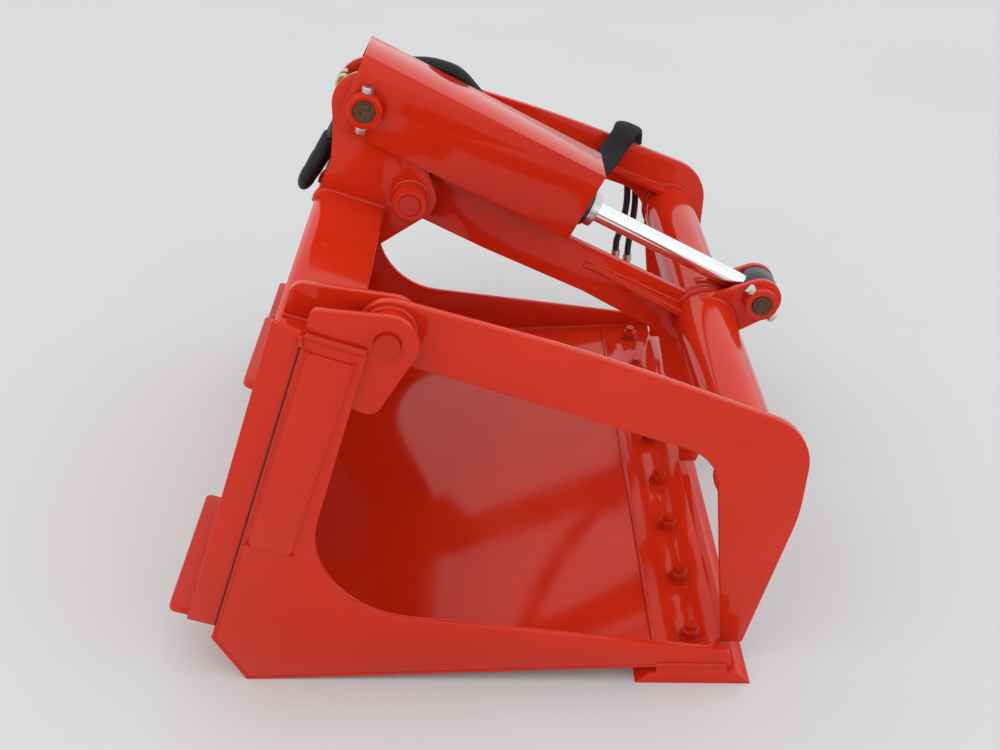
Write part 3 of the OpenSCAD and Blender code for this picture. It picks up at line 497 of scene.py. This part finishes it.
# points along the sloping back and round the pins, in mm from the heel
lean = math.radians(18.5)  # of the back from upright
sizes = {
    "heel": (51, 97), "backTop": 605, "beamLow": 515, "beamFront": 79, "beamBack": 47, "beamRadius": 22,
    "sideIn": 592, "sideOut": 602, "shell": 6, "sideTop": 621, "lipRear": 708.5, "lipFront": 828.5,
    "lipTop": 45, "edgeTop": 25, "pinGap": 19.4, "pinCollar": 31.75,
    "outerEarIn": 580, "outerEarBack": 2, "innerEarOut": 529, "innerEarIn": 517, "innerEarBack": 38,
    "bracketOut": 49, "bracketIn": 39, "bracketFoot": 576, "plateOut": 604.5,
    "armIn": 534, "armOut": 550, "hub": 38, "centreHub": 42, "centreArmOut": 8, "tube": 57.5,
    "clevisIn": 29, "clevisOut": 41, "gusset": 12, "gussetRise": 0.36,
}
pivotPoint = (265.02, 668.03)
basePoint = (190.02, 840.02)
rodPoint = (941.0, 459.02)
tubePoint = (840.01, 405.02)


def onBack(u, v, y):
    x = -sizes["heel"][0] + u * math.sin(lean) + v * math.cos(lean)
    return (x, y, sizes["heel"][1] + u * math.cos(lean) - v * math.sin(lean))


def roundPin(point, radius, y, first=0.0, last=360.0, steps=48):
    turns = [math.radians(first + (last - first) * i / steps) for i in range(steps + 1)]
    return [(point[0] + radius * math.cos(t), y, point[1] + radius * math.sin(t)) for t in turns]


# plates with softened edges, each in place of the node it was copied from
bodyOf = {node: body for body, nodes in frame["record"]["behaviour"]["bodies"].items() for node in nodes}
edgeLook = {"flat": 0.4, "least": 25.0, "smooth": 32, "segments": 2}  # the first three are angles in degrees
plateEdges = {  # node: width of the rounded edge in mm
    "side_plate_right": 1.2, "side_plate_left": 1.2, "lip_plate": 1.6, "top_beam": 2.4, "upper_lips": 1.2,
    "end_plate_right": 1.2, "end_plate_left": 1.2, "lower_lip_right": 1.2, "lower_lip_left": 1.2,
    "outer_ear_right": 1.2, "outer_ear_left": 1.2, "inner_ear_right": 1.2, "inner_ear_left": 1.2,
    "bracket_plate_right": 1.2, "bracket_plate_left": 1.2, "arm_right": 1.6, "arm_left": 1.6,
    "centre_arm": 1.6, "clevis_ear_right": 1.2, "clevis_ear_left": 1.2, "cylinder_guard": 2.2,
    "pin_collars": 1.2, "centre_collars": 1.2, "base_collars": 1.2, "rod_collar": 1.2, "guard_spacers": 1.0,
    "gussets": 1.2, "cutting_edge": 1.0, "name_plates": 0.8, "lip_nuts": 1.0, "gland": 1.5, "rod_eye": 1.0,
    "base_eye": 1.5, "base_lock_bolts": 0.6, "rod_lock_bolt": 0.6,
}


def softPlate(node, width):
    shape = bmesh.new()
    shape.from_mesh(bpy.data.objects[node].data)
    bmesh.ops.remove_doubles(shape, verts=shape.verts, dist=joinWithin["plate"])
    bmesh.ops.dissolve_limit(shape, angle_limit=math.radians(edgeLook["flat"]), verts=shape.verts,
                            edges=shape.edges)
    least = math.radians(edgeLook["least"])
    sharp = [e for e in shape.edges if len(e.link_faces) == 2 and e.calc_face_angle(0.0) > least]
    bmesh.ops.bevel(shape, geom=sharp, offset=width * mm, offset_type="OFFSET", affect="EDGES",
                    segments=edgeLook["segments"], profile=0.5, material=-1, clamp_overlap=True)
    bmesh.ops.triangulate(shape, faces=[f for f in shape.faces if len(f.verts) > 4])
    first, *rest = node.split("_")
    slotName = next(e["material_slot"] for e in frame["record"]["subparts"] if e["node"] == node)
    piece = addPiece(first + "".join(word.title() for word in rest) + "Soft", meshOf(shape),
                     finishes[slotName], bodyOf[node])
    piece.data.shade_smooth()
    piece.data.set_sharp_from_angle(angle=math.radians(edgeLook["smooth"]))
    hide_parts(node)


for node, width in plateEdges.items():
    softPlate(node, width)
print("plates softened")

# weld beads, as rippled tubes along the seams
beadLook = {
    "pitch": 4.5, "ripple": 0.16, "sides": 3, "wander": 0.031, "drift": 0.18, "sway": 0.6, "proud": 0.5,
}
beadRadius = {  # in mm
    "inside": 5, "lipSide": 3.5, "ear": 5, "bracket": 5, "innerCollar": 4, "outerCollar": 4.5,
    "namePlate": 4.5, "lipRear": 4, "lipFront": 5, "backTop": 4, "hub": 5, "tube": 6, "clevis": 5,
    "gusset": 4,
}
beadTurns = {"beam": (180, 80, -18), "centreArm": (-60, 165), "clevis": (-23, 105)}  # degrees
gapLook = {"width": 0.0011, "sides": 2, "low": 30, "belowTop": 14}  # the gap's ends are in mm up the back
cornerBeads = [  # radius, then points up from a side plate's top, out from the back and in from its face
    (6.5, [(0, 2, 5), (0, 93, 5)]),
    (5.5, [(6, -40, 8), (-1, -6, 8)]),
    (5, [(1, -4, 1), (-gapLook["belowTop"], 0, 0)]),
]


def spacedOut(route, pitch):
    points = [Vector(p) for p in route]
    out = [points[0]]
    for a, b in zip(points, points[1:]):
        count = max(1, round((b - a).length / pitch))
        out += [a.lerp(b, (i + 1) / count) for i in range(count)]
    return out


def weldBeads(name, body, routes):  # routes are pairs of a radius in mm and points in mm from the heel
    splines = []
    for radius, route in routes:
        spots = []
        for i, p in enumerate(spacedOut(route, beadLook["pitch"] / 2)):
            drift = noise.noise(p * beadLook["wander"]) * beadLook["drift"]
            size = radius * mm * (1 + drift + (beadLook["ripple"] if i % 2 else -beadLook["ripple"]))
            at = fromHeel([p + Vector((0, drift, drift)) * radius * beadLook["sway"]])[0]
            spots.append({"at": at, "size": size})
        splines.append(spots)
    mesh = curveMesh(splines, depth=1.0, sides=beadLook["sides"])
    return addPiece(name, mesh, finishes["paint"], body, True)


def insideCorner(a, p, b, t):
    a, p, b = Vector(a), Vector(p), Vector(b)
    one, two = (a - p).normalized(), (b - p).normalized()
    return p + (one + two).normalized() * t / math.sin(one.angle(two) / 2)


def beamWay(rear, y, start):  # over the beam from its rear at v = -rear, then down its front
    route = []
    if rear >= sizes["beamBack"]:
        middle = (sizes["backTop"] - sizes["beamRadius"], sizes["beamRadius"] - sizes["beamBack"])
        route = [onBack(start, -sizes["beamBack"], y)]
        for turn in range(*beadTurns["beam"]):
            t = math.radians(turn)
            route.append(onBack(middle[0] + sizes["beamRadius"] * math.sin(t),
                                middle[1] + sizes["beamRadius"] * math.cos(t), y))
    else:
        route = [onBack(sizes["backTop"], -rear, y)]
    front = [onBack(u, sizes["beamFront"], y) for u in (sizes["backTop"], sizes["beamLow"])]
    return route + front


inner = sizes["sideIn"]
outer = sizes["sideOut"]
shell = sizes["shell"]
beamLow = sizes["beamLow"]
sideTop = sizes["sideTop"]
lipTop = sizes["lipTop"]
lipRear = sizes["lipRear"]
lipFront = sizes["lipFront"]
gapTop = sideTop - gapLook["belowTop"]
backLow = (-sizes["heel"][0], sizes["heel"][1])
backHigh = onBack(sizes["backTop"], 0, 0)[0::2]
heelTurn = insideCorner(backLow, (0, 0), (lipRear, lipTop - shell), shell)
backTurn = insideCorner((0, 0), backLow, backHigh, shell)
plateCorners = {"up": (222, 600), "out": (12, 82), "half": 3}  # the welded corners of a name plate


def cornerSeams(side):  # over the top corner of a side plate
    return [(radius, [onBack(sideTop + up, out, side * (outer - across)) for up, out, across in points])
            for radius, points in cornerBeads]


bucketSeams = []
for side in (-1, 1):
    bucketSeams += [
        (beadRadius["inside"], [
            onBack(beamLow, shell, side * inner), (backTurn.x, side * inner, backTurn.y),
            (heelTurn.x, side * inner, heelTurn.y), (lipRear, side * inner, lipTop),
            (lipFront, side * inner, lipTop)]),
        (beadRadius["lipSide"], [(x, side * outer, lipTop) for x in (lipRear, lipFront)]),
        *cornerSeams(side),
        (beadRadius["ear"], beamWay(sizes["outerEarBack"], side * sizes["outerEarIn"], 0)),
        (beadRadius["ear"], beamWay(sizes["innerEarBack"], side * sizes["innerEarOut"], 0)),
        (beadRadius["ear"], beamWay(sizes["innerEarBack"], side * sizes["innerEarIn"], 0)),
        (beadRadius["bracket"], beamWay(sizes["beamBack"], side * sizes["bracketOut"], sizes["bracketFoot"])),
        (beadRadius["bracket"], beamWay(sizes["beamBack"], side * sizes["bracketIn"], sizes["bracketFoot"])),
        (beadRadius["innerCollar"], roundPin(pivotPoint, sizes["pinCollar"], side * sizes["innerEarIn"])),
        (beadRadius["outerCollar"], roundPin(pivotPoint, sizes["pinCollar"], side * sizes["bracketOut"])),
        (beadRadius["outerCollar"], roundPin(basePoint, sizes["pinCollar"], side * sizes["bracketOut"])),
    ]
    for u in plateCorners["up"]:
        for v in plateCorners["out"]:
            ends = (u - plateCorners["half"], u + plateCorners["half"])
            corner = [onBack(end, v, side * sizes["plateOut"]) for end in ends]
            bucketSeams.append((beadRadius["namePlate"], corner))
bucketSeams += [
    (beadRadius["lipRear"], [(lipRear, y, lipTop) for y in (-inner, inner)]),
    (beadRadius["lipFront"], [(lipFront, y, sizes["edgeTop"]) for y in (-outer, outer)]),
    (beadRadius["backTop"], [onBack(beamLow, shell, y) for y in (-inner, inner)]),
]
weldBeads("bucketWelds", "bucket", bucketSeams)


def gapLine(name, body, routes):  # the dark line where two pieces meet, as routes in mm from the heel
    splines = [[{"at": p} for p in fromHeel(route)] for route in routes]
    mesh = curveMesh(splines, depth=gapLook["width"], sides=gapLook["sides"])
    return addPiece(name, mesh, gapShade, body, True)


def faceOf(node):  # where a collar's outer face lies on the right side, in mm
    return min(corner[1] for corner in bpy.data.objects[node].bound_box) / mm


gapLine("sideGaps", "bucket", [
    [onBack(up, 0, side * outer) for up in (gapLook["low"], gapTop)] for side in (-1, 1)])
gapLine("basePinGap", "bucket", [roundPin(basePoint, sizes["pinGap"], faceOf("base_collars"))])
gapLine("rodPinGap", "grapple", [roundPin(rodPoint, sizes["pinGap"], faceOf("rod_collar"))])

gussetLooks = [  # place across, length, slope and rise above the tube's middle
    (sizes["centreArmOut"], 268, 25.6, 0),
    (sizes["armIn"], 198.3, 20.0, sizes["gussetRise"] * 2 * sizes["tube"]),
]


def gussetSeam(across, length, slope, lift):  # from a gusset's point to the tube, along one of its faces
    t = math.radians(slope)
    reach = math.sqrt((sizes["tube"] + beadLook["proud"]) ** 2 - lift ** 2)
    return [(tubePoint[0] - away * math.cos(t) + lift * math.sin(t), across,
             tubePoint[1] + away * math.sin(t) + lift * math.cos(t)) for away in (length, reach)]


armSeams = []
for side in (-1, 1):
    armSeams += [
        (beadRadius["hub"], roundPin(pivotPoint, sizes["hub"], side * sizes["armIn"])),
        (beadRadius["hub"], roundPin(pivotPoint, sizes["hub"], side * sizes["armOut"])),
        (beadRadius["hub"], roundPin(pivotPoint, sizes["centreHub"], side * sizes["centreArmOut"])),
        (beadRadius["tube"], roundPin(tubePoint, sizes["tube"], side * sizes["armIn"])),
        (beadRadius["tube"],
         roundPin(tubePoint, sizes["tube"], side * sizes["centreArmOut"], *beadTurns["centreArm"])),
        (beadRadius["clevis"],
         roundPin(tubePoint, sizes["tube"], side * sizes["clevisIn"], *beadTurns["clevis"])),
        (beadRadius["clevis"],
         roundPin(tubePoint, sizes["tube"], side * sizes["clevisOut"], *beadTurns["clevis"])),
    ]
    for across, length, slope, rise in gussetLooks:
        for edge in (rise - sizes["gusset"] / 2, rise + sizes["gusset"] / 2):
            armSeams.append((beadRadius["gusset"], gussetSeam(side * across, length, slope, edge)))
weldBeads("grappleWelds", "grapple", armSeams)
print("welds laid")

# the part's own nodes take their finish
for entry in frame["record"]["subparts"]:
    holder = bpy.data.objects[entry["node"]]
    holder.data.materials.clear()
    holder.data.materials.append(finishes[entry["material_slot"]])
bpy.data.objects["port_fittings"].data.materials[0] = yellowZinc

# the floor, the light and the backdrop
studio = {
    "floor": (0.62, 0.62, 0.62), "floorSize": 14.0, "sky": (0.96, 0.98, 1.0), "strength": 1.12,
    "lamps": [("key", 24.0, (-1.6, -1.8, 3.6), 2.6), ("fill", 6.0, (2.4, -2.6, 1.8), 2.0)],
    "aim": (0, 0, 0.4),
}


def makeStudio(look):
    shape = bmesh.new()
    bmesh.ops.create_grid(shape, x_segments=1, y_segments=1, size=look["floorSize"])
    floor = bpy.data.objects.new("floor", meshOf(shape))
    bpy.context.scene.collection.objects.link(floor)
    pale = plainFinish("pale floor", look["floor"], 0.8, grain=4.0, height=0.0, change=0.02)
    floor.data.materials.append(pale)
    world = bpy.data.worlds.new("studio")
    bpy.context.scene.world = world
    world.use_nodes = True
    back = world.node_tree.nodes["Background"]
    back.inputs["Color"].default_value = (*look["sky"], 1)
    back.inputs["Strength"].default_value = look["strength"]
    for name, power, place, size in look["lamps"]:
        lamp = bpy.data.lights.new(name, "AREA")
        lamp.energy = power
        lamp.size = size
        holder = bpy.data.objects.new(name, lamp)
        bpy.context.scene.collection.objects.link(holder)
        holder.location = place
        holder.rotation_euler = (Vector(look["aim"]) - Vector(place)).to_track_quat("-Z", "Y").to_euler()


makeStudio(studio)
